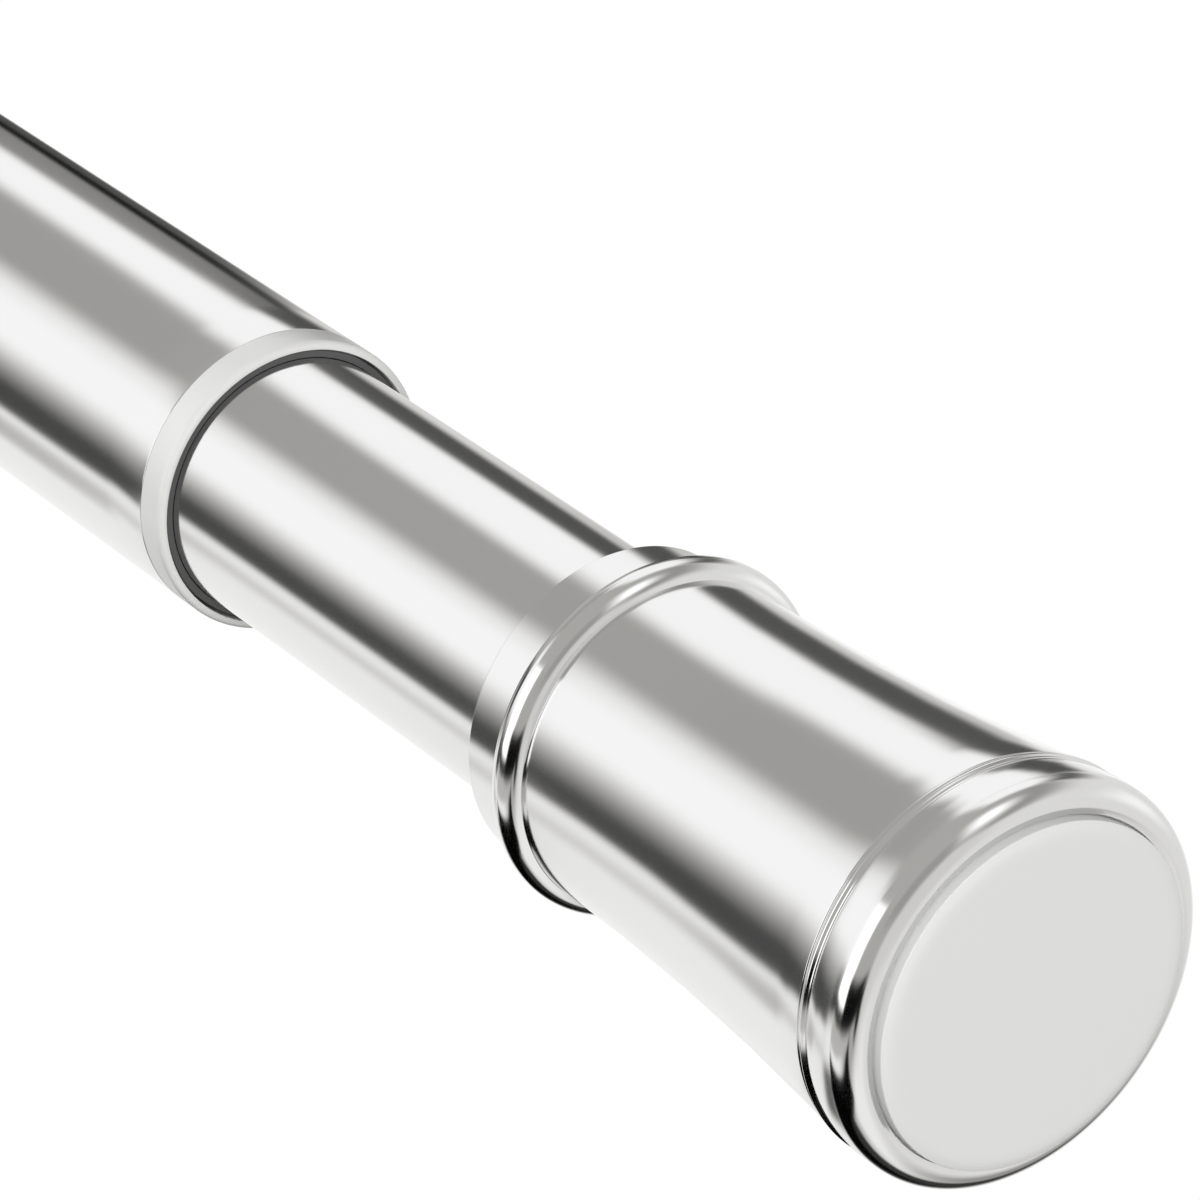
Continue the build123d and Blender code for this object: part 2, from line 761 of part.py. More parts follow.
# Spring seat: a plug with a groove for the tube's crimp and a boss inside the last coil.
with BuildPart() as spring_seat:
    with BuildSketch(side):
        with BuildLine():
            Polyline(
                (seat_x - boss_length, 0),
                (seat_x - boss_length, boss_radius - boss_chamfer),
                (seat_x - boss_length + boss_chamfer, boss_radius),
                (seat_x, boss_radius),
                (seat_x, inner_bore - fixed_clearance),
                (crimp_x - crimp_width, inner_bore - fixed_clearance),
                (crimp_x - crimp_width / 2, inner_bore - fixed_clearance - crimp_depth),
                (crimp_x + crimp_width / 2, inner_bore - fixed_clearance - crimp_depth),
                (crimp_x + crimp_width, inner_bore - fixed_clearance),
                (seat_x + seat_length, inner_bore - fixed_clearance),
                (seat_x + seat_length, 0),
                close=True,
            )
        make_face()
    revolve(axis=Axis.X)
save(spring_seat.part, "spring_seat")
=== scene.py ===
"""Dressing of the spring tension rod: the finish of every piece, and the studio around it.

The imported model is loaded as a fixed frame, in metres, with the rod along X: the wall face of
the outer tube's cap is at X = 0 and the inner tube's cap is at the far end. Most shapes are
outlines of (place along X, radius) turned round the rod's axis.
"""

import json
import math

import bpy
import numpy as np
from bpy.props import FloatProperty, FloatVectorProperty, IntProperty, PointerProperty
from bpy.types import Operator, Panel, PropertyGroup
from mathutils import Matrix, Vector


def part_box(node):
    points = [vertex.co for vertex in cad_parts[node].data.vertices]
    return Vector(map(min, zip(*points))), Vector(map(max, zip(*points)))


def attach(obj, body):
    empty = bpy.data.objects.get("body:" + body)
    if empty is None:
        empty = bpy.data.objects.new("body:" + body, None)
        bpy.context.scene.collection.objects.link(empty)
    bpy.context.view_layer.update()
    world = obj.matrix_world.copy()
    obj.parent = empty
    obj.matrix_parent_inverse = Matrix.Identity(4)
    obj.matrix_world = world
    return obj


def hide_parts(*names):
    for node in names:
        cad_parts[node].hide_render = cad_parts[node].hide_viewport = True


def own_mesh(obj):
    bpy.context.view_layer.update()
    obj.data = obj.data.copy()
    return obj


bl_info = {
    "name": "Spring tension rod",
    "version": (1, 0, 0),
    "blender": (4, 5, 0),
    "location": "View3D > Sidebar > Rod",
    "description": "Polished tubes, flared caps, twist lock and studio of a spring tension rod",
    "category": "Object",
}

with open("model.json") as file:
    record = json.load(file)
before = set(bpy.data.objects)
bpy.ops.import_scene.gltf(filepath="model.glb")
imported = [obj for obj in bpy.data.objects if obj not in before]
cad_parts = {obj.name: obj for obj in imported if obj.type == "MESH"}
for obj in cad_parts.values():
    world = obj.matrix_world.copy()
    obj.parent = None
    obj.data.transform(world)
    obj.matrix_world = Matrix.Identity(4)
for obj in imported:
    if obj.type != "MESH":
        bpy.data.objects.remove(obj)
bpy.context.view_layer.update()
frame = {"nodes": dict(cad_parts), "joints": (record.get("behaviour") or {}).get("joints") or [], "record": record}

MM = 0.001
FULL_TURN = 2 * math.pi
WHITE = (1, 1, 1, 1)

# Faces round the rod of a turned piece, and of the pieces that are seen closest
SIDES = 192
FINE_SIDES = 256

# The share of the lip's width that slopes up to the nose, and the share of the raised line's
# width that rises, between its two grooves
LIP_SLOPE = 0.6
RIDGE_CORE = 0.62

# How deep in the closed turns the spring's pitch starts to open, and over how many it opens
OPENING_START = 0.75
OPENING_LENGTH = 0.5

# Edges of the spring that are bent by more than this are sharp
SHARP_ANGLE = math.radians(40)

# From the pad's face to the plane that the camera is aimed at
AIM_DEPTH = 0.5 * MM


def span(node):
    """Where a CAD node starts and ends along the rod, and how far it reaches from the axis."""
    lowest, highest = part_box(node)
    return lowest.x, highest.x, max(highest.y, highest.z)


OUTER_WALL = span("outer_pad")[0]
INNER_WALL = span("inner_pad")[1]
SHELL_BACK, SHELL_FRONT, RIM_RADIUS = span("inner_cap_shell")


# Sizes and colours that a user would change


def length(name, description, default):
    """A size in metres."""
    return FloatProperty(name=name, description=description, default=default, unit="LENGTH")


def colour(name, description, default):
    """A colour in linear light."""
    return FloatVectorProperty(
        name=name, description=description, default=default, subtype="COLOR", size=3
    )


class CapSizes(PropertyGroup):
    """The outline of a cap shell, by distance from the wall face, and of its pad."""

    shell_end: length("Shell end", "Wall face to the shell's open end", INNER_WALL - SHELL_BACK)
    pad_proud: length("Pad proud", "Pad standing out of the shell", INNER_WALL - SHELL_FRONT)
    rim_radius: length("Rim radius", "Widest radius of the shell", RIM_RADIUS)
    sheet: length("Sheet", "Thickness of the shell's sheet", 0.6 * MM)
    nose_round: length("Nose round", "Radius of the rolled nose", 1.87 * MM)
    lip_width: length("Lip width", "Flat land round the pad", 0.5 * MM)
    lip_sink: length("Lip sink", "How far the lip lies behind the nose", 0.06 * MM)
    lip_gap: length("Lip gap", "Gap between the lip and the pad", 0.12 * MM)
    rim_land: length("Rim land", "Straight part behind the nose", 1.4 * MM)
    rim_step: length("Rim step", "Fall from the land to the flare", 0.22 * MM)
    ridge_place: length("Ridge place", "Wall face to the fine raised line", 6.15 * MM)
    ridge_width: length("Ridge width", "Width of the fine raised line", 1.1 * MM)
    ridge_height: length("Ridge height", "Height of the fine raised line", 0.16 * MM)
    ridge_groove: length("Ridge groove", "Depth of the grooves beside that line", 0.08 * MM)
    neck_step: length("Neck step", "How much wider the neck is than the band", 0.13 * MM)
    bead_setback: length("Bead setback", "Bead to the shell's open end", 5.5 * MM)
    bead_round: length("Bead round", "Radius of the rolled bead", 1.57 * MM)
    bead_sink: length("Bead sink", "Depth of the bead's centre below the neck", 0.33 * MM)
    fit: length("Fit", "Clearance between the shell and the thick tube", 0.05 * MM)
    pad_slope: length("Pad slope", "Width of the falling edge of the pad's face", 0.9 * MM)
    pad_fall: length("Pad fall", "How far that edge falls", 0.2 * MM)
    pad_corner: length("Pad corner", "Round of the pad's corner", 0.12 * MM)
    pad_flange: length("Pad flange", "Pad's flange, behind the lip", 0.05 * MM)
    crease: length("Crease", "How far sheet corners are rounded", 0.035 * MM)


class TubeSizes(PropertyGroup):
    """The two tubes, the collar and the bush between them."""

    wall: length("Wall", "Thickness of the tubes' walls", 0.6 * MM)
    crimp_setback: length("Crimp setback", "Crimp to the spring seat's far end", 4.0 * MM)
    crimp_width: length("Crimp width", "Width of the rolled crimp", 1.6 * MM)
    crimp_depth: length("Crimp depth", "Depth of the rolled crimp", 0.4 * MM)
    collar_opening: length("Collar opening", "Room between tube and collar", 0.8 * MM)
    collar_round: length("Collar round", "Round of the collar's front edge", 0.55 * MM)
    edge: length("Edge", "How far cut edges are rounded", 0.06 * MM)


class SpringSizes(PropertyGroup):
    """The compression spring."""

    wire_radius: length("Wire radius", "Radius of the wire", 0.9 * MM)
    active_turns: FloatProperty(name="Active turns", description="Open turns", default=7.5)
    closed_turns: FloatProperty(name="Closed turns", description="At each end", default=1.0)
    steps_per_turn: IntProperty(name="Steps", description="Sections in one turn", default=48)
    wire_sides: IntProperty(name="Wire sides", description="Faces round the wire", default=16)


class Finishes(PropertyGroup):
    """Colours of the finishes."""

    polish: colour("Polish", "Polished plating", (0.96, 0.96, 0.96))
    polish_haze: FloatProperty(name="Haze", description="Least roughness", default=0.02)
    pad: colour("Pad", "Soft pale rubber", (0.74, 0.74, 0.745))
    collar: colour("Collar", "Pale moulded collar", (0.86, 0.86, 0.87))
    bush: colour("Bush", "Dark bushes", (0.15, 0.15, 0.15))
    nylon: colour("Nylon", "Natural nylon", (0.78, 0.77, 0.73))
    lock: colour("Lock", "Black lock pieces", (0.03, 0.03, 0.033))
    wedge: colour("Wedge", "Red wedge", (0.45, 0.03, 0.02))
    drag: colour("Drag ring", "Black rubber", (0.02, 0.02, 0.02))
    steel: colour("Steel", "Drawn steel", (0.56, 0.56, 0.55))
    zinc: colour("Zinc", "Zinc plating", (0.62, 0.64, 0.68))
    wire: colour("Wire", "Oiled spring wire", (0.28, 0.27, 0.26))


class Stage(PropertyGroup):
    """The camera, the floor and the lights."""

    azimuth: FloatProperty(name="Azimuth", description="Camera's turn, degrees", default=54.5)
    elevation: FloatProperty(name="Elevation", description="Camera's height, degrees", default=28.4)
    lens: FloatProperty(name="Lens", description="Focal length in mm on 36 mm", default=178.19)
    distance: length("Distance", "Camera to the cap's face, along the view", 410.14 * MM)
    aim_left: length("Aim left", "Cap's place right of the middle", 29.85 * MM)
    aim_up: length("Aim up", "Cap's place below the middle", 27.33 * MM)
    floor_drop: length("Floor drop", "Axis to the floor", 250.0 * MM)
    floor_size: length("Floor size", "Side of the floor", 30.0)
    floor_glow: FloatProperty(name="Floor glow", description="Light of the lit floor", default=1.02)
    world_strength: FloatProperty(name="World", description="Strength of the walls", default=1.17)
    matt_share: FloatProperty(name="Matt share", description="Walls' light on matt", default=0.5)
    end_power: FloatProperty(name="End lamps", description="Watts of each end lamp", default=14.4)
    side_power: FloatProperty(name="Side lamp", description="Watts of the side lamp", default=2.2)
    back_power: FloatProperty(name="Back lamp", description="Watts of the back lamp", default=1.5)


GROUPS = {
    "cap_sizes": CapSizes,
    "tube_sizes": TubeSizes,
    "spring_sizes": SpringSizes,
    "rod_finishes": Finishes,
    "rod_stage": Stage,
}


# Outlines


def arc(centre, radius, start, end, steps=24):
    """Points of a circle, centre + radius (cos a, sin a), with a from start to end degrees."""
    a = np.radians(np.linspace(start, end, steps))
    return np.stack([centre[0] + radius * np.cos(a), centre[1] + radius * np.sin(a)], 1)


def path(*stretches):
    """Corners and arcs joined to one outline."""
    return np.concatenate([np.atleast_2d(np.array(s, float)) for s in stretches])


def chord(radius, height):
    """Half the chord of a circle at this height above its centre."""
    return math.sqrt(radius**2 - height**2)


def rounded(outline, blunt, on_axis):
    """An outline with every corner rounded, as evenly spaced points and their headings.

    The outline is sampled at even steps and its waves are damped by exp(-(w blunt)^2 / 2), w
    being a wave's angle per metre, which blurs it along its length by blunt. An outline that
    starts and ends on the axis is closed by its own mirror image first.
    """
    loop = outline
    if on_axis:
        loop = np.concatenate([outline, outline[-2:0:-1] * (1, -1)])
    loop = np.concatenate([loop, loop[:1]])
    along = np.concatenate([[0], np.cumsum(np.hypot(*np.diff(loop, axis=0).T))])
    count = 2 * math.ceil(2 * along[-1] / blunt)
    even = np.linspace(0, along[-1], count, endpoint=False)
    points = np.stack([np.interp(even, along, loop[:, k]) for k in (0, 1)], 1)
    waves = FULL_TURN * np.fft.fftfreq(count, along[-1] / count)[:, None]
    spectrum = np.fft.fft(points, axis=0) * np.exp(-0.5 * (waves * blunt) ** 2)
    points = np.fft.ifft(spectrum, axis=0).real
    headings = np.fft.ifft(1j * waves * spectrum, axis=0).real
    kept = count // 2 + 1 if on_axis else count
    return points[:kept], headings[:kept]


def thinned(points, headings, closed, bend=math.radians(6), longest=12 * MM):
    """Fewer points, spaced so that each step turns by up to bend or runs up to longest.

    A step costs turn / bend + run / longest, and points are kept at even costs. Returns the
    points and the outward normals, which are the headings turned by a right angle.
    """
    if closed:
        points = np.concatenate([points, points[:1]])
        headings = np.concatenate([headings, headings[:1]])
    x, r = points.T
    area = 0.5 * np.sum(x[:-1] * r[1:] - x[1:] * r[:-1])
    normals = headings[:, ::-1] * (1, -1) * np.sign(area)
    normals = normals / np.linalg.norm(normals, axis=1, keepdims=True)
    if area < 0:
        points, normals = points[::-1], normals[::-1]
    turn = np.abs(np.diff(np.unwrap(np.arctan2(*normals.T))))
    run = np.hypot(*np.diff(points, axis=0).T)
    cost = np.concatenate([[0], np.cumsum(turn / bend + run / longest)])
    picks = np.linspace(0, cost[-1], math.ceil(cost[-1]) + 1)
    if closed:
        picks = picks[:-1]
    points = np.stack([np.interp(picks, cost, points[:, k]) for k in (0, 1)], 1)
    normals = np.stack([np.interp(picks, cost, normals[:, k]) for k in (0, 1)], 1)
    return points, normals / np.linalg.norm(normals, axis=1, keepdims=True)


def grid_faces(rows, columns, wrap_rows):
    """Four corners of each cell of a grid that closes on itself across its columns."""
    index = np.arange(rows * columns).reshape(rows, columns)
    after = np.roll(index, -1, axis=0)
    cells = [index, after, np.roll(after, -1, axis=1), np.roll(index, -1, axis=1)]
    faces = np.stack(cells, -1)
    return faces.reshape(-1, 4) if wrap_rows else faces[:-1].reshape(-1, 4)


def turned(name, outline, blunt, on_axis=False, sides=SIDES):
    """A closed surface: the outline turned round X.

    The point of (x, r) at angle a is (x, r cos a, r sin a), and so is its normal.
    """
    points, normals = thinned(*rounded(outline, blunt, on_axis), closed=not on_axis)
    rows = slice(1, -1) if on_axis else slice(None)
    a = np.linspace(0, FULL_TURN, sides, endpoint=False)
    ring = np.stack([np.ones(sides), np.cos(a), np.sin(a)], 1)
    spread = [0, 1, 1]
    places = (points[rows][:, None, spread] * ring).reshape(-1, 3)
    facing = (normals[rows][:, None, spread] * ring).reshape(-1, 3)
    count = len(points[rows])
    faces = grid_faces(count, sides, not on_axis).tolist()
    if on_axis:
        start, end = len(places), len(places) + 1
        first = np.arange(sides)
        last = first + (count - 1) * sides
        faces += np.stack([np.full(sides, start), first, np.roll(first, -1)], 1).tolist()
        faces += np.stack([last, np.full(sides, end), np.roll(last, -1)], 1).tolist()
        poles = points[[0, -1]] * (1, 0)
        places = np.concatenate([places, poles[:, spread]])
        facing = np.concatenate([facing, [[np.sign(n[0]), 0, 0] for n in normals[[0, -1]]]])
    mesh = bpy.data.meshes.new(name)
    mesh.from_pydata(places.tolist(), [], faces)
    mesh.shade_smooth()
    mesh.normals_split_custom_set_from_vertices(facing.tolist())
    return mesh


def add_piece(name, mesh, finish, body, slot, *nodes):
    """Puts a mesh in the scene with its finish, its body and the nodes it stands for. The slot argument is not
    used.
    """
    piece = bpy.data.objects.new(name, mesh)
    bpy.context.scene.collection.objects.link(piece)
    mesh.materials.append(finish)
    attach(piece, body)
    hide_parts(*nodes)
    return piece


# Node trees


class Value:
    """One value of a node tree. An expression on values adds its Math nodes."""

    def __init__(self, nodes, socket):
        self.nodes = nodes
        self.socket = socket

    def math(self, operation, *others):
        return self.nodes.add("ShaderNodeMath", {"operation": operation}, [self, *others])

    def __add__(self, other):
        return self.math("ADD", other)

    def __sub__(self, other):
        return self.math("SUBTRACT", other)

    def __mul__(self, other):
        return self.math("MULTIPLY", other)

    def __rsub__(self, other):
        return self * -1 + other

    def __abs__(self):
        return self.math("ABSOLUTE")

    __radd__ = __add__
    __rmul__ = __mul__


class Nodes:
    """The node tree of a material or of the world."""

    def __init__(self, owner):
        owner.use_nodes = True
        self.tree = owner.node_tree
        self.tree.nodes.clear()

    def add(self, kind, settings=None, inputs=(), output=0):
        """Adds a node with its settings, then its inputs by name or place."""
        node = self.tree.nodes.new(kind)
        for key, setting in (settings or {}).items():
            setattr(node, key, setting)
        pairs = inputs.items() if isinstance(inputs, dict) else enumerate(inputs)
        for key, given in pairs:
            if isinstance(given, Value):
                self.tree.links.new(given.socket, node.inputs[key])
            else:
                node.inputs[key].default_value = given
        return Value(self, node.outputs[output]) if len(node.outputs) else None

    def place(self):
        """The point on the piece, in metres."""
        return self.add("ShaderNodeTexCoord", output="Object")

    def noise(self, place, scale, detail=2.0):
        """Cloudy noise from 0 to 1, with scale features to the metre."""
        inputs = {"Vector": place, "Scale": scale, "Detail": detail}
        return self.add("ShaderNodeTexNoise", {}, inputs, output="Fac")

    def stretched(self, place, factors):
        """The point with each coordinate multiplied, which stretches a pattern."""
        return self.add("ShaderNodeMapping", {}, {"Vector": place, "Scale": factors})

    def rise(self, value, low, high):
        """0 below low and 1 above high, with a smooth step between."""
        inputs = {"Value": value, "From Min": low, "From Max": high}
        settings = {"interpolation_type": "SMOOTHSTEP"}
        return self.add("ShaderNodeMapRange", settings, inputs)

    def mix(self, share, first, second):
        """A colour between two, by a share from 0 to 1."""
        inputs = {0: share, 6: (*first, 1) if isinstance(first, tuple) else first}
        inputs[7] = (*second, 1) if isinstance(second, tuple) else second
        return self.add("ShaderNodeMix", {"data_type": "RGBA"}, inputs, output=2)

    def bump(self, height, depth):
        """A normal from a height of 0 to 1 that stands for this many metres."""
        inputs = {"Height": height, "Distance": depth, "Strength": 1.0}
        return self.add("ShaderNodeBump", {}, inputs)

    def surface(self, inputs):
        """The finished surface, from the Principled shader's inputs."""
        shader = self.add("ShaderNodeBsdfPrincipled", {}, inputs)
        self.add("ShaderNodeOutputMaterial", {}, {"Surface": shader})


# Finishes


def shades(rgb, low, high):
    """Two tones of a colour, as tuples."""
    return tuple(low * c for c in rgb), tuple(high * c for c in rgb)


def polished(material, finishes):
    """Mirror-bright plating: a faint cloudy haze, and buffing lines too fine to see singly."""
    nodes = Nodes(material)
    place = nodes.place()
    haze = nodes.noise(place, scale=90, detail=4)
    buffing = nodes.noise(nodes.stretched(place, (9000, 300, 300)), scale=1)
    nodes.surface({
        "Base Color": nodes.mix(haze, *shades(finishes.polish, low=0.985, high=1.0)),
        "Metallic": 1.0,
        "Roughness": finishes.polish_haze + 0.02 * haze,
        "Normal": nodes.bump(buffing, depth=2e-7),
    })


def soft_rubber(material, rgb, roughness=0.6):
    """Moulded rubber with a fine matt grain and slightly uneven tone."""
    nodes = Nodes(material)
    place = nodes.place()
    grain = nodes.noise(place, scale=5200, detail=3)
    cloud = nodes.noise(place, scale=180, detail=2)
    nodes.surface({
        "Base Color": nodes.mix(cloud, *shades(rgb, low=0.975, high=1.01)),
        "Roughness": roughness + 0.12 * grain,
        "Specular IOR Level": 0.35,
        "Normal": nodes.bump(grain, depth=6e-6),
    })


def satin_plastic(material, rgb):
    """Moulded plastic with a low sheen, a faint ripple and fine scuffs."""
    nodes = Nodes(material)
    place = nodes.place()
    ripple = nodes.noise(place, scale=700, detail=2)
    scuff = nodes.noise(nodes.stretched(place, (2600, 500, 500)), scale=1, detail=3)
    nodes.surface({
        "Base Color": nodes.mix(scuff, *shades(rgb, low=0.96, high=1.02)),
        "Roughness": 0.3 + 0.18 * scuff,
        "Normal": nodes.bump(ripple, depth=5e-6),
    })


def matt_plastic(material, rgb):
    """Moulded plastic with a matt grain and turning marks round the rod."""
    nodes = Nodes(material)
    place = nodes.place()
    grain = nodes.noise(place, scale=3000, detail=3)
    turning = nodes.noise(nodes.stretched(place, (6000, 60, 60)), scale=1)
    nodes.surface({
        "Base Color": nodes.mix(grain, *shades(rgb, low=0.85, high=1.12)),
        "Roughness": 0.42 + 0.2 * grain,
        "Normal": nodes.bump(grain * 0.6 + turning * 0.4, depth=8e-6),
    })


def drawn_steel(material, rgb):
    """Drawn or plated steel: streaks along the rod, and cloudy roughness."""
    nodes = Nodes(material)
    place = nodes.place()
    streak = nodes.noise(nodes.stretched(place, (60, 4200, 4200)), scale=1)
    cloud = nodes.noise(place, scale=260, detail=3)
    nodes.surface({
        "Base Color": nodes.mix(cloud, *shades(rgb, low=0.85, high=1.08)),
        "Metallic": 1.0,
        "Roughness": 0.2 + 0.16 * streak + 0.1 * cloud,
        "Normal": nodes.bump(streak, depth=3e-6),
    })


MAKERS = {
    "polished_tube": polished,
    "polished_shell": polished,
    "wall_pad": lambda m, f: soft_rubber(m, f.pad),
    "collar_plastic": lambda m, f: satin_plastic(m, f.collar),
    "bush_plastic": lambda m, f: matt_plastic(m, f.bush),
    "moulded_nylon": lambda m, f: matt_plastic(m, f.nylon),
    "lock_plastic": lambda m, f: matt_plastic(m, f.lock),
    "wedge_plastic": lambda m, f: matt_plastic(m, f.wedge),
    "drag_rubber": lambda m, f: soft_rubber(m, f.drag, 0.5),
    "spindle_steel": lambda m, f: drawn_steel(m, f.steel),
    "zinc_screw": lambda m, f: drawn_steel(m, f.zinc),
    "spring_steel": lambda m, f: drawn_steel(m, f.wire),
}


def finish(slot):
    """The material of one of the record's slots, made once."""
    material = bpy.data.materials.get(slot)
    if material is None:
        material = bpy.data.materials.new(slot)
        MAKERS[slot](material, bpy.context.scene.rod_finishes)
    return material


# Pieces


def from_wall(end, outline):
    """Turns distances from an end's wall face into places along the rod."""
    station, radius = outline.T
    x = OUTER_WALL + station if end == "outer" else INNER_WALL - station
    return np.stack([x, radius], 1)


def shell_outline(size):
    """The shell's sheet, as (distance from the wall face, radius), once round its section.

    The flare's radius at a distance s is neck + bend - sqrt(bend^2 - (front - s)^2), a circle
    of radius bend that leaves the neck straight, where front is where the bead begins. The
    fine line rises by a squared cosine over the middle RIDGE_CORE of its width, and sinks by a
    squared sine in a groove on each side.
    """
    band = span("outer_tube")[2] + size.fit + size.sheet
    neck = band + size.neck_step
    flare = size.rim_radius - size.rim_step
    nose = size.rim_radius - size.nose_round
    nose_place = size.pad_proud + size.nose_round
    lip = nose - size.lip_width
    bead = size.shell_end - size.bead_setback
    bead_middle = neck - size.bead_sink
    bead_front = bead - chord(size.bead_round, size.bead_sink)
    bead_back = bead + chord(size.bead_round, band - bead_middle)
    ridge_start = size.ridge_place - size.ridge_width / 2
    ridge_end = size.ridge_place + size.ridge_width / 2
    drop, run = flare - neck, bead_front - ridge_end
    bend = (run**2 + drop**2) / (2 * drop)
    s = np.linspace(ridge_end, bead_front, 160)
    sweep = neck + bend - np.sqrt(bend**2 - (bead_front - s) ** 2)
    u = np.linspace(-1, 1, 61)
    rise = size.ridge_height * np.cos(math.pi / 2 * u / RIDGE_CORE) ** 2
    groove = size.ridge_groove * np.sin(math.pi * (abs(u) - RIDGE_CORE) / (1 - RIDGE_CORE)) ** 2
    swell = np.where(abs(u) < RIDGE_CORE, rise, -groove)
    outside = path(
        (size.pad_proud + size.lip_sink, nose - LIP_SLOPE * size.lip_width),
        arc((nose_place, nose), size.nose_round, 180, 90),
        (nose_place + size.rim_land, size.rim_radius),
        np.stack([size.ridge_place + u * size.ridge_width / 2, flare + swell], 1),
        np.stack([s, sweep], 1),
        # The bead's circle meets the neck at about 168 degrees and the band at about 8
        arc((bead, bead_middle), size.bead_round, 168, 8),
        (bead_back, band),
        (size.shell_end, band),
    )
    inside = path(
        (size.shell_end, band - size.sheet),
        (bead + size.bead_round - size.sheet, band - size.sheet),
        arc((bead, bead_middle), size.bead_round - size.sheet, 30, 150, 12),
        (bead_front, neck - size.sheet),
        np.stack([s, sweep - size.sheet], 1)[::-1],
        (ridge_start, flare - size.sheet),
        (nose_place + size.rim_land, size.rim_radius - size.sheet),
        arc((nose_place, nose), size.nose_round - size.sheet, 90, 180),
        (size.pad_proud + size.sheet, lip),
        (size.pad_proud + size.lip_sink, lip),
    )
    return path(outside, inside)


class ROD_OT_cap_shells(Operator):
    """Rolled, polished shells of both end caps"""

    bl_idname = "rod.cap_shells"
    bl_label = "Cap shells"

    def execute(self, context):
        size = context.scene.cap_sizes
        for end in ("outer", "inner"):
            outline = from_wall(end, shell_outline(size))
            mesh = turned(f"{end}_shell", outline, size.crease, sides=FINE_SIDES)
            add_piece(
                f"{end}_shell", mesh, finish("polished_shell"), end, "polished_shell",
                f"{end}_cap_shell",
            )
        return {"FINISHED"}


class ROD_OT_wall_pads(Operator):
    """Pale rubber pads in the noses of the caps"""

    bl_idname = "rod.wall_pads"
    bl_label = "Wall pads"

    def execute(self, context):
        """The face falls by a square towards its edge, and a small round ends it."""
        size = context.scene.cap_sizes
        nose = size.rim_radius - size.nose_round
        edge = nose - size.lip_width - size.lip_gap
        behind = size.pad_proud + size.sheet + size.pad_flange
        back, front, _ = span("inner_pad")
        thick = front - back
        u = np.linspace(0, 1, 24)
        crown = edge - size.pad_corner - (1 - u) * size.pad_slope
        centre = (size.pad_fall + size.pad_corner, edge - size.pad_corner)
        corner = arc(centre, size.pad_corner, 160, 90)
        outline = path(
            (0, 0),
            np.stack([size.pad_fall * u**2, crown], 1),
            corner,
            (behind, edge),
            (behind, nose - size.pad_flange),
            (thick, nose - size.pad_flange),
            (thick, 0),
        )
        for end in ("outer", "inner"):
            placed = from_wall(end, outline)
            mesh = turned(f"{end}_wall_pad", placed, size.crease, on_axis=True, sides=FINE_SIDES)
            add_piece(
                f"{end}_wall_pad", mesh, finish("wall_pad"), end, "wall_pad", f"{end}_pad"
            )
        return {"FINISHED"}


class ROD_OT_tubes(Operator):
    """The two polished tubes"""

    bl_idname = "rod.tubes"
    bl_label = "Tubes"

    def execute(self, context):
        size = context.scene.tube_sizes
        start, end, radius = span("outer_tube")
        bore = radius - size.wall
        outline = path((start, bore), (end, bore), (end, radius), (start, radius))
        mesh = turned("thick_tube", outline, size.edge)
        add_piece(
            "thick_tube", mesh, finish("polished_tube"), "outer", "polished_tube", "outer_tube"
        )

        start, end, radius = span("inner_tube")
        bore = radius - size.wall
        crimp = span("spring_seat")[1] - size.crimp_setback
        x = crimp + np.linspace(-0.5, 0.5, 24) * size.crimp_width
        dip = size.crimp_depth * np.cos(math.pi * (x - crimp) / size.crimp_width) ** 2
        outline = path(
            (start, bore),
            np.stack([x, bore - dip], 1),
            (end, bore),
            (end, radius),
            np.stack([x, radius - dip], 1)[::-1],
            (start, radius),
        )
        mesh = turned("thin_tube", outline, size.edge)
        add_piece(
            "thin_tube", mesh, finish("polished_tube"), "inner", "polished_tube", "inner_tube"
        )
        return {"FINISHED"}


class ROD_OT_collar(Operator):
    """The pale ring that closes the thick tube's mouth"""

    bl_idname = "rod.collar"
    bl_label = "Collar"

    def execute(self, context):
        size = context.scene.tube_sizes
        start, end, radius = span("collar")
        bore = span("inner_tube")[2] + size.collar_opening
        curve = size.collar_round
        outline = path(
            (start, bore),
            (end, bore),
            arc((end - curve, radius - curve), curve, 0, 90),
            (start, radius),
        )
        mesh = turned("mouth_ring", outline, size.edge, sides=FINE_SIDES)
        ring = add_piece(
            "mouth_ring", mesh, finish("collar_plastic"), "outer", "collar_plastic", "collar"
        )
        # A choice made for likeness: the tubes mirror the studio, and not this ring
        ring.visible_glossy = False
        return {"FINISHED"}


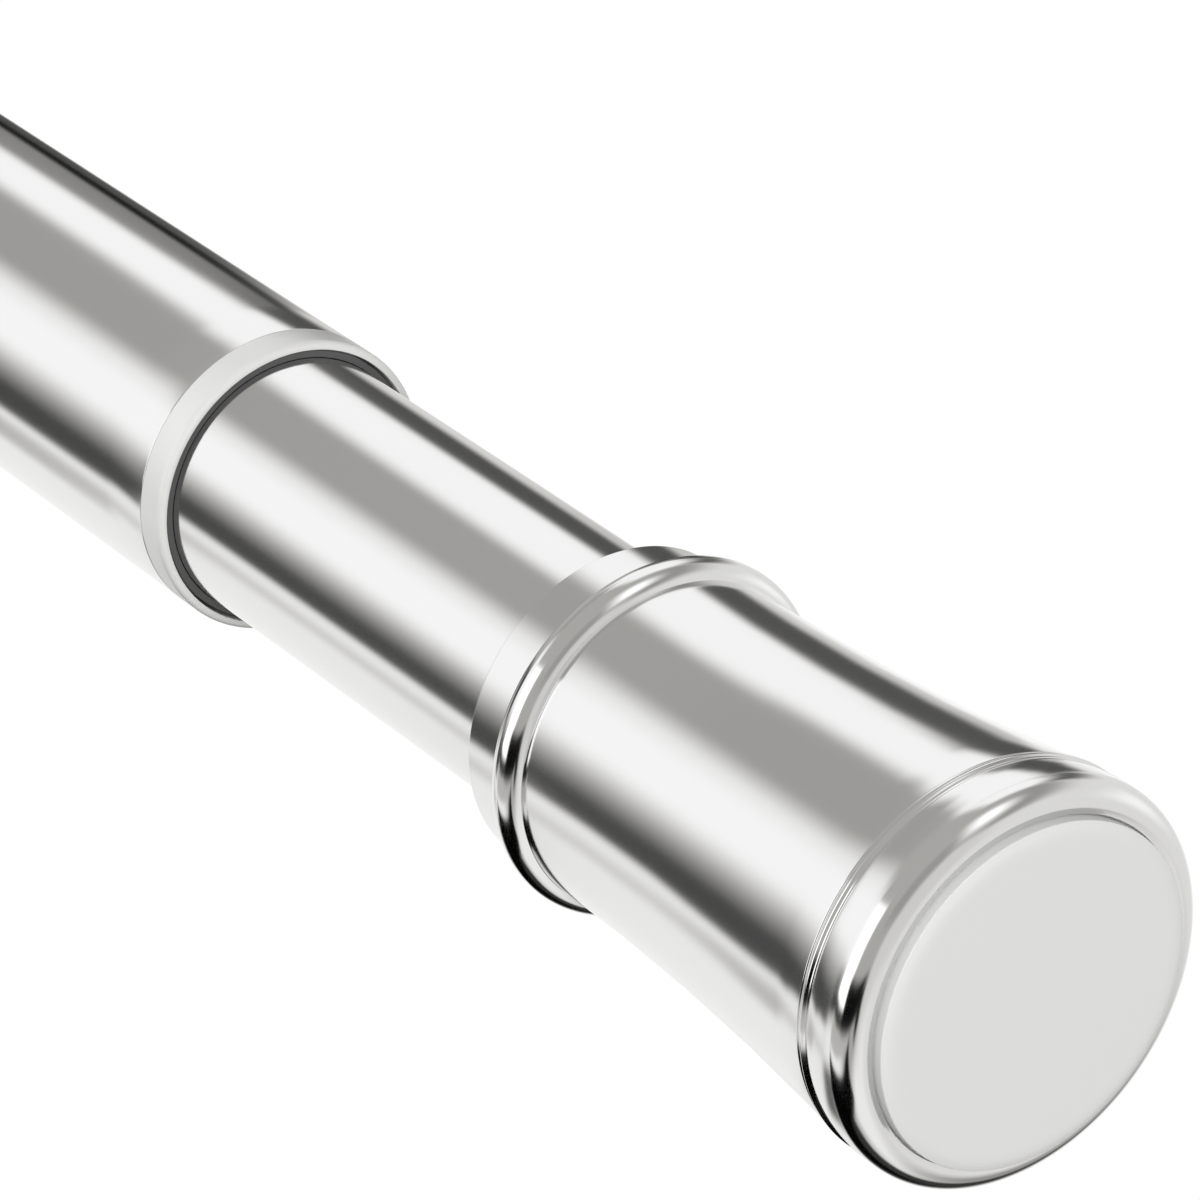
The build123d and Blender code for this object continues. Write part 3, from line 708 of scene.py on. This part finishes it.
class ROD_OT_spring(Operator):
    """The coil spring with its closed ends"""

    bl_idname = "rod.spring"
    bl_label = "Spring"

    def execute(self, context):
        """A wire of radius w on the line (x(t), R cos t, R sin t).

        x grows by one wire's width a turn in the closed ends and by the open pitch between
        them, with a smooth change over half a turn. The wire's circle lies across the line.
        """
        size = context.scene.spring_sizes
        start, end, reach = span("spring")
        wire = size.wire_radius
        coil = reach - wire
        turns = size.active_turns + 2 * size.closed_turns
        u = np.linspace(0, turns, int(turns * size.steps_per_turn) + 1)
        depth = np.minimum(u, turns - u) / size.closed_turns - OPENING_START
        inside = np.clip(depth, 0, OPENING_LENGTH) / OPENING_LENGTH
        opening = inside**2 * (3 - 2 * inside)
        closed = np.cumsum(np.full(len(u), 2 * wire)) * (u[1] - u[0])
        opened = np.cumsum(opening) * (u[1] - u[0])
        room = end - start - 2 * wire
        share = (room - (closed[-1] - closed[0])) / (opened[-1] - opened[0])
        x = start + wire + (closed - closed[0]) + share * (opened - opened[0])
        t = FULL_TURN * u
        line = np.stack([x, coil * np.cos(t), coil * np.sin(t)], 1)
        along = np.gradient(line, axis=0)
        along /= np.linalg.norm(along, axis=1, keepdims=True)
        outward = np.stack([0 * t, np.cos(t), np.sin(t)], 1)
        across = np.cross(along, outward)
        a = np.linspace(0, FULL_TURN, size.wire_sides, endpoint=False)[None, :, None]
        rings = line[:, None] + wire * (np.cos(a) * outward[:, None] + np.sin(a) * across[:, None])
        faces = grid_faces(len(u), size.wire_sides, False).tolist()
        last = (len(u) - 1) * size.wire_sides
        faces.append(list(range(size.wire_sides)))
        faces.append(list(range(last + size.wire_sides - 1, last - 1, -1)))
        mesh = bpy.data.meshes.new("coil_spring")
        mesh.from_pydata(rings.reshape(-1, 3).tolist(), [], faces)
        mesh.shade_smooth()
        mesh.set_sharp_from_angle(angle=SHARP_ANGLE)
        piece = add_piece(
            "coil_spring", mesh, finish("spring_steel"), "inner", "spring_steel", "spring"
        )
        joint = next(j for j in frame["joints"] if j["name"] == "spring_stroke")
        seat = joint["deforming_nodes"][0]["fixed_end_x_m"]
        keep = 1 + joint["range_m"][0] / (seat - start)
        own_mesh(piece)
        return {"FINISHED"}


class ROD_OT_fittings(Operator):
    """Finishes of the lock, the bushes, the cores and the screws"""

    bl_idname = "rod.fittings"
    bl_label = "Fittings"

    def execute(self, context):
        for part in frame["record"]["subparts"]:
            node = frame["nodes"][part["node"]]
            node.data.materials.clear()
            node.data.materials.append(finish(part["material_slot"]))
        return {"FINISHED"}


# Studio


def light(level):
    """The linear light of a shade from 0 to 255, by the sRGB curve of s = level / 255.

    It is s / 12.92 up to s = 0.04045, and ((s + 0.055) / 1.055)^2.4 above that.
    """
    share = level / 255
    return share / 12.92 if share <= 0.04045 else ((share + 0.055) / 1.055) ** 2.4


# What stands round the rod. Each row is a soft-edged patch of light or shade, laid over those
# before it: name, shade, middle and half width in degrees round the rod's axis (0 behind, 90
# above, 180 in front), lean in degrees, soft edge in degrees, and where it starts and ends
# along the rod's direction, from -1 to 1, with its soft edge there.
SURROUND = 168
STUDIO = (
    ("end wall", 205, 0, 200, 0, 10, 0.86, 2.0, 0.1),
    ("wall behind", 219, 330, 66, 0, 26, -0.7, 0.92, 0.1),
    ("window behind", 248, 0, 10, 0, 20, 0.0, 0.5, 0.4),
    ("wall shade", 146, 51, 9, 0, 20, -0.15, 0.84, 0.2),
    ("ceiling back", 152, 120, 28, 0, 20, 0.52, 0.86, 0.2),
    ("low screen", 236, 266, 26, 0, 30, 0.38, 0.88, 0.3),
    ("side glow", 243, 318, 16, 0, 22, -0.7, -0.25, 0.4),
    ("grey gap", 145, 302, 14, 0, 26, 0.02, 0.56, 0.3),
    ("table shade", 50, 270, 38, 40, 22, -0.62, 0.22, 0.12),
    ("table edge", 6, 272, 22, 40, 18, -0.62, -0.1, 0.12),
    ("black card edge", 5, 240, 8, -40, 10, -0.6, 0.6, 0.1),
    ("black card", 3, 233, 11, 0, 4, -0.6, 0.58, 0.1),
    ("strip lamp", 238, 215.5, 5.5, 0, 5, -0.66, 0.2, 0.5),
    ("grey strip", 180, 206, 7, -2, 4, -0.66, 0.55, 0.2),
    ("front box", 255, 166, 26, 0, 4, -0.66, 0.09, 0.1),
    ("dark strip", 46, 195, 4.5, 0, 5, -0.66, 0.1, 0.1),
    ("flag", 5, 187, 13, 9, 8, 0.02, 0.82, 0.1),
    ("flag end", 8, 208, 18, 0, 16, 0.76, 0.87, 0.06),
    ("back box", 247, 54, 21, -6, 12, -0.68, -0.16, 0.24),
    ("back flag", 95, 45, 10, 43, 18, -0.66, -0.15, 0.2),
    ("small box", 253, 74, 11, 0, 22, 0.25, 0.7, 0.34),
    ("rim wall", 226, 315, 62, 0, 20, -0.7, -0.645, 0.02),
    ("rim side glow", 241, 326, 19, 0, 16, -0.7, -0.645, 0.02),
    ("rim low shade", 92, 253, 22, 0, 22, -0.7, -0.645, 0.02),
    ("rim back shade", 74, 12, 13.5, 0, 14, -0.7, -0.645, 0.02),
    ("rim ceiling", 167, 104, 27, 0, 14, -0.7, -0.645, 0.02),
    ("rim back box", 249, 54, 26, 0, 14, -0.7, -0.645, 0.02),
    ("rim dark strip", 38, 190, 14, 0, 10, -0.7, -0.645, 0.02),
    ("rim front box", 247, 155, 22, 0, 24, -0.7, -0.645, 0.02),
    ("rim strip lamp", 236, 221, 13, 0, 16, -0.7, -0.6, 0.06),
    ("back box foot", 247, 52, 27.5, 0, 13, -2.0, -0.69, 0.02),
    ("ceiling", 159, 101.5, 26.5, 0, 20, -2.0, -0.69, 0.02),
    ("ceiling end", 156, 95, 28, 0, 18, -2.0, -0.765, 0.02),
    ("front glow", 232, 163, 40, 0, 20, -2.0, -0.69, 0.02),
    ("front box foot", 249, 156, 21, 0, 20, -2.0, -0.69, 0.02),
    ("low flag", 70, 204.5, 22, 0, 40, -2.0, -0.69, 0.02),
    ("low wall", 234, 272.5, 58, 0, 8, -2.0, -0.69, 0.02),
    ("low flag end", 66, 209, 9.5, 0, 8, -2.0, -0.765, 0.02),
    ("low wall seam", 206, 231, 5, 0, 12, -2.0, -0.69, 0.02),
    ("low wall end seam", 178, 237.5, 8, 0, 12, -0.81, -0.765, 0.02),
    ("side glow foot", 238, 316, 10, 0, 14, -2.0, -0.69, 0.02),
    ("side wall", 206, 339, 12, 0, 12, -2.0, -0.725, 0.02),
    ("back shade", 78, 11.5, 15, 0, 12, -2.0, -0.69, 0.02),
    ("back shade end", 132, 1.5, 29.5, 0, 14, -2.0, -0.765, 0.02),
    ("side shade", 74, 346, 14.5, 0, 12, -2.0, -0.765, 0.02),
    ("side shade line", 12, 358, 6, 0, 7, -2.0, -0.765, 0.02),
    ("far wall", 170, 0, 200, 0, 10, -2.0, -0.88, 0.03),
    ("far glow", 232, 255, 45, 0, 20, -0.93, -0.86, 0.04),
    ("far shade", 60, 178, 27, 0, 20, -2.0, -0.9, 0.04),
)

# Shades from CLIPPED up are lamps, whose light is multiplied by LAMP_GAIN
CLIPPED = 250
LAMP_GAIN = 1.25

# How much a grey's red grows and its blue falls with its warmth
WARM_RED = 0.1
WARM_BLUE = 0.25

# Each lamp's name, the wall face that it shines on, its place from there, and its power
LAMPS = (
    ("near end lamp", INNER_WALL, (1.0, -0.5, 0.5), "end_power"),
    ("far end lamp", OUTER_WALL, (-1.0, -0.5, 0.5), "end_power"),
    ("side lamp", INNER_WALL, (-0.1, -1.0, 0.35), "side_power"),
    ("back lamp", OUTER_WALL, (0.3, 1.0, 0.4), "back_power"),
)
LAMP_SIDE = 0.9


def patch(nodes, angle, along, under, row):
    """The light after one patch is laid over what is under it.

    Its share is the product of three smooth steps: half - |angle - middle - lean along|,
    along - start and end - along, each against its soft edge.
    """
    _, level, middle, half, lean, soft, start, end, fade = row
    offset = (angle - along * lean - middle).math("WRAP", 180.0, -180.0)
    share = nodes.rise(half - abs(offset), -soft / 2, soft / 2)
    if start > -1:
        share = share * nodes.rise(along, start - fade / 2, start + fade / 2)
    if end < 1:
        share = share * (1 - nodes.rise(along, end - fade / 2, end + fade / 2))
    gain = LAMP_GAIN if level >= CLIPPED else 1
    return under + share * (gain * light(level) - under)


def studio_world(stage):
    """The studio round the rod, as greys by their angle round its axis.

    The camera sees plain white instead. Mirrors show the greys at world_strength, and they
    light matt pieces at matt_share of it. A grey v is warmed by w = v (1 - v)^2, to a red of
    v (1 + WARM_RED w) and a blue of v (1 - WARM_BLUE w). The world isn't sampled as a lamp, so
    its light comes only from rays that meet it by themselves.
    """
    world = bpy.data.worlds.new("studio")
    world.cycles.sampling_method = "NONE"
    bpy.context.scene.world = world
    nodes = Nodes(world)
    direction = nodes.add("ShaderNodeTexCoord", output="Generated")
    split = nodes.tree.nodes.new("ShaderNodeSeparateXYZ")
    nodes.tree.links.new(direction.socket, split.inputs[0])
    along, back, up = (Value(nodes, socket) for socket in split.outputs)
    angle = up.math("ARCTAN2", back) * math.degrees(1)
    value = along * 0 + light(SURROUND)
    for row in STUDIO:
        value = patch(nodes, angle, along, value, row)
    shade = 1 - value.math("MINIMUM", 1.0)
    warmth = value * shade * shade
    parts = [value * (warmth * WARM_RED + 1), value, value * (1 - warmth * WARM_BLUE)]
    tone = nodes.add("ShaderNodeCombineXYZ", {}, parts)
    matt = nodes.add("ShaderNodeLightPath", output="Is Diffuse Ray")
    strength = stage.world_strength * (1 - (1 - stage.matt_share) * matt)
    walls = nodes.add("ShaderNodeBackground", {}, {"Color": tone, "Strength": strength})
    plain = nodes.add("ShaderNodeBackground", {}, {"Color": WHITE, "Strength": 1.0})
    seen = nodes.add("ShaderNodeLightPath", output="Is Camera Ray")
    both = nodes.add("ShaderNodeMixShader", {}, [seen, walls, plain])
    nodes.add("ShaderNodeOutputWorld", {}, {"Surface": both})


def pale_floor(stage):
    """A large plain lit floor below the rod, hidden from mirrors and from matt pieces."""
    half = stage.floor_size / 2
    corners = [(x, y, -stage.floor_drop) for x, y in ((-1, -1), (1, -1), (1, 1), (-1, 1))]
    mesh = bpy.data.meshes.new("floor")
    mesh.from_pydata([(x * half, y * half, z) for x, y, z in corners], [], [(0, 1, 2, 3)])
    floor = bpy.data.objects.new("floor", mesh)
    bpy.context.scene.collection.objects.link(floor)
    floor.visible_glossy = False
    floor.visible_diffuse = False
    material = bpy.data.materials.new("pale_floor")
    nodes = Nodes(material)
    glow = nodes.add("ShaderNodeEmission", {}, {"Color": WHITE, "Strength": stage.floor_glow})
    nodes.add("ShaderNodeOutputMaterial", {}, {"Surface": glow})
    mesh.materials.append(material)


def soft_lamp(name, place, aim, power):
    """A square lamp that lights matt surfaces and isn't mirrored in the polish."""
    lamp = bpy.data.lights.new(name, "AREA")
    lamp.size = LAMP_SIDE
    lamp.energy = power
    holder = bpy.data.objects.new(name, lamp)
    holder.location = place
    holder.rotation_mode = "QUATERNION"
    holder.rotation_quaternion = (aim - place).to_track_quat("-Z", "Y")
    holder.visible_glossy = False
    bpy.context.scene.collection.objects.link(holder)


def place_camera(stage):
    """The camera at the picture's angle, with the cap's face set right of and below the middle."""
    a, e = math.radians(stage.azimuth), math.radians(stage.elevation)
    right = Vector((math.cos(a), math.sin(a), 0))
    level = Vector((-math.sin(a), math.cos(a), 0))
    forward = math.cos(e) * level - math.sin(e) * Vector((0, 0, 1))
    above = right.cross(forward)
    face = Vector((INNER_WALL - AIM_DEPTH, 0, 0))
    data = bpy.data.cameras.new("camera")
    data.lens = stage.lens
    data.sensor_width = 36
    data.clip_start = 0.01
    data.clip_end = 100
    camera = bpy.data.objects.new("camera", data)
    turn = Matrix((right, above, -forward)).transposed().to_4x4()
    where = face - stage.aim_left * right + stage.aim_up * above - stage.distance * forward
    camera.matrix_world = Matrix.Translation(where) @ turn
    bpy.context.scene.collection.objects.link(camera)
    bpy.context.scene.camera = camera


class ROD_OT_stage(Operator):
    """The camera, the pale floor and the soft light"""

    bl_idname = "rod.stage"
    bl_label = "Stage"

    def execute(self, context):
        stage = context.scene.rod_stage
        studio_world(stage)
        pale_floor(stage)
        for name, wall, offset, power in LAMPS:
            aim = Vector((wall, 0, 0))
            soft_lamp(name, aim + Vector(offset), aim, getattr(stage, power))
        place_camera(stage)
        context.scene.view_settings.view_transform = "Standard"
        return {"FINISHED"}


OPERATORS = (
    ROD_OT_cap_shells,
    ROD_OT_wall_pads,
    ROD_OT_tubes,
    ROD_OT_collar,
    ROD_OT_spring,
    ROD_OT_fittings,
    ROD_OT_stage,
)


class ROD_PT_panel(Panel):
    """Sizes, finishes and steps of the rod"""

    bl_idname = "ROD_PT_panel"
    bl_label = "Tension rod"
    bl_space_type = "VIEW_3D"
    bl_region_type = "UI"
    bl_category = "Rod"

    def draw(self, context):
        for name, group in GROUPS.items():
            box = self.layout.box()
            for key in group.__annotations__:
                box.prop(getattr(context.scene, name), key)
        for operator in OPERATORS:
            self.layout.operator(operator.bl_idname)


def register():
    for group in (*GROUPS.values(), *OPERATORS, ROD_PT_panel):
        bpy.utils.register_class(group)
    for name, group in GROUPS.items():
        setattr(bpy.types.Scene, name, PointerProperty(type=group))


def unregister():
    for name in GROUPS:
        delattr(bpy.types.Scene, name)
    for group in (*GROUPS.values(), *OPERATORS, ROD_PT_panel):
        bpy.utils.unregister_class(group)


def main():
    register()
    for operator in OPERATORS:
        family, name = operator.bl_idname.split(".")
        getattr(getattr(bpy.ops, family), name)()


if __name__ == "__main__":
    main()
